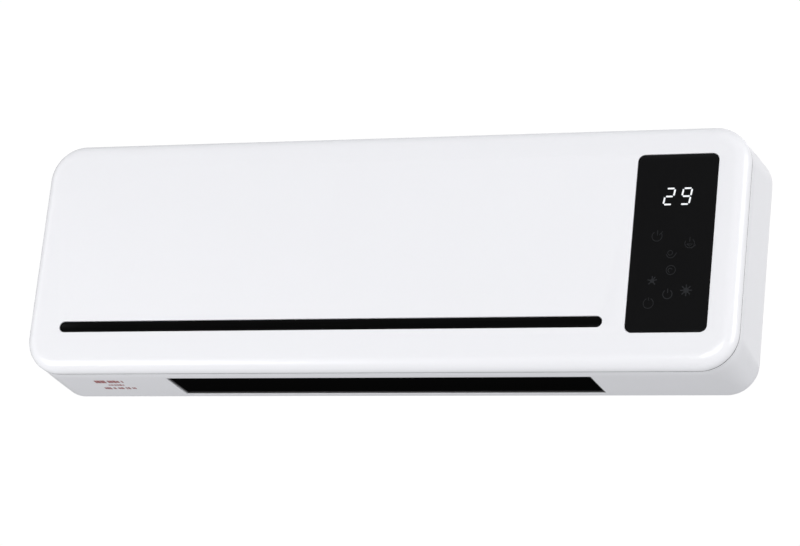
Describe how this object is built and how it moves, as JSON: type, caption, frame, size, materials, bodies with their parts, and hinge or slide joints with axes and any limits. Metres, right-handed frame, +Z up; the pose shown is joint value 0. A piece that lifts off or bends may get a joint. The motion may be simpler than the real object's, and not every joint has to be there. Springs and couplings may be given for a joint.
{
  "type": "wall fan convector heater",
  "caption": "Slim wall-mounted fan convector heater: white casing, black touch panel, dark trim strip, top air intake and a swinging outlet flap underneath.",
  "frame": {"origin": "centre of the wall bracket's screw pattern, on the wall plane", "axes": "+X across the wall, to the right seen from the front; +Y into the wall; +Z up"},
  "size_m": [0.548, 0.068, 0.177],
  "materials": {
    "white_gloss": "gloss moulded cover",
    "white_casing": "semi-gloss moulded casing",
    "black_gloss": "piano black",
    "black_glass": "polished, backed black",
    "grey_print": "unlit key marks",
    "display_light": "lit white segments",
    "board_green": "solder mask",
    "dark_plastic": "matt moulded",
    "black_plastic": "matt moulded",
    "zinc_steel": "zinc plated",
    "bright_steel": "ground",
    "lamination_steel": "stacked sheet",
    "rocker_red": "gloss",
    "filter_cloth": "open weave",
    "winding_tape": "wound tape",
    "black_rubber": "moulded",
    "bronze": "sintered",
    "heater_aluminium": "rolled",
    "heat_proof_plastic": "glass-filled, matt",
    "fuse_ceramic": "glazed",
    "dark_wire": "enamelled",
    "relay_blue": "moulded",
    "capacitor_sleeve": "shrink sleeve",
    "terminal_green": "moulded",
    "wire_brown": "insulation",
    "wire_black": "insulation",
    "ribbon_grey": "flat ribbon"
  },
  "bodies": {
    "casing": {"front_cover": "white_gloss", "trim_strip": "black_gloss", "touch_glass": "black_glass", "touch_icons": "grey_print", "display_digits": "display_light", "display_board": "board_green", "display_module": "dark_plastic", "display_screws": "zinc_steel", "touch_springs": "bright_steel", "remote_sensor": "dark_plastic", "rear_casing": "white_casing", "case_screws": "zinc_steel", "wall_bracket": "zinc_steel", "cord_gland": "black_plastic", "gland_nut": "dark_plastic", "switch_housing": "black_plastic", "scroll_back": "zinc_steel", "scroll_front": "zinc_steel", "duct_end_left": "zinc_steel", "duct_end_right": "zinc_steel", "duct_screws": "zinc_steel", "motor_stack": "lamination_steel", "motor_coil": "winding_tape", "motor_bridges": "zinc_steel", "motor_grommets": "black_rubber", "motor_screws": "zinc_steel", "bearing_cup": "black_rubber", "bearing_bush": "bronze", "heater_fins": "heater_aluminium", "heater_tubes": "heater_aluminium", "heater_holders": "heat_proof_plastic", "heater_terminals": "bronze", "thermal_cutout": "dark_plastic", "thermal_fuse": "fuse_ceramic", "outlet_nozzle": "heat_proof_plastic", "outlet_guard": "dark_wire", "flap_motor": "bright_steel", "flap_motor_screws": "zinc_steel", "control_board": "board_green", "board_screws": "zinc_steel", "power_relays": "relay_blue", "capacitors": "capacitor_sleeve", "power_module": "black_plastic", "terminal_block": "terminal_green", "buzzer": "black_plastic", "mains_wires": "wire_brown", "motor_wires": "wire_black", "display_ribbon": "ribbon_grey"},
    "impeller": {"impeller_blades": "black_plastic", "impeller_discs": "black_plastic", "impeller_hubs": "dark_plastic", "impeller_stub_shaft": "bright_steel", "motor_shaft": "bright_steel", "motor_rotor": "lamination_steel"},
    "flap": {"flap_blade": "black_gloss", "flap_motor_shaft": "bright_steel"},
    "rocker": {"switch_rocker": "rocker_red"},
    "intake_filter": {"intake_grille": "white_casing", "filter_frame": "dark_plastic", "filter_mesh": "filter_cloth"}
  },
  "joints": [
    {"name": "impeller_spin", "type": "hinge", "parent": "casing", "child": "impeller", "pos_m": [0, -0.036, 0.026], "axis": [1, 0, 0], "continuous": true},
    {"name": "flap_swing", "type": "hinge", "parent": "casing", "child": "flap", "pos_m": [0, -0.0145, -0.0832], "axis": [1, 0, 0], "range_deg": [0, 75]},
    {"name": "rocker_press", "type": "hinge", "parent": "casing", "child": "rocker", "pos_m": [-0.268, -0.028, -0.012], "axis": [0, 1, 0], "range_deg": [0, 18]},
    {"name": "filter_lift", "type": "slide", "parent": "casing", "child": "intake_filter", "axis": [0, 0, 1], "range_m": [0, 0.04]}
  ]
}
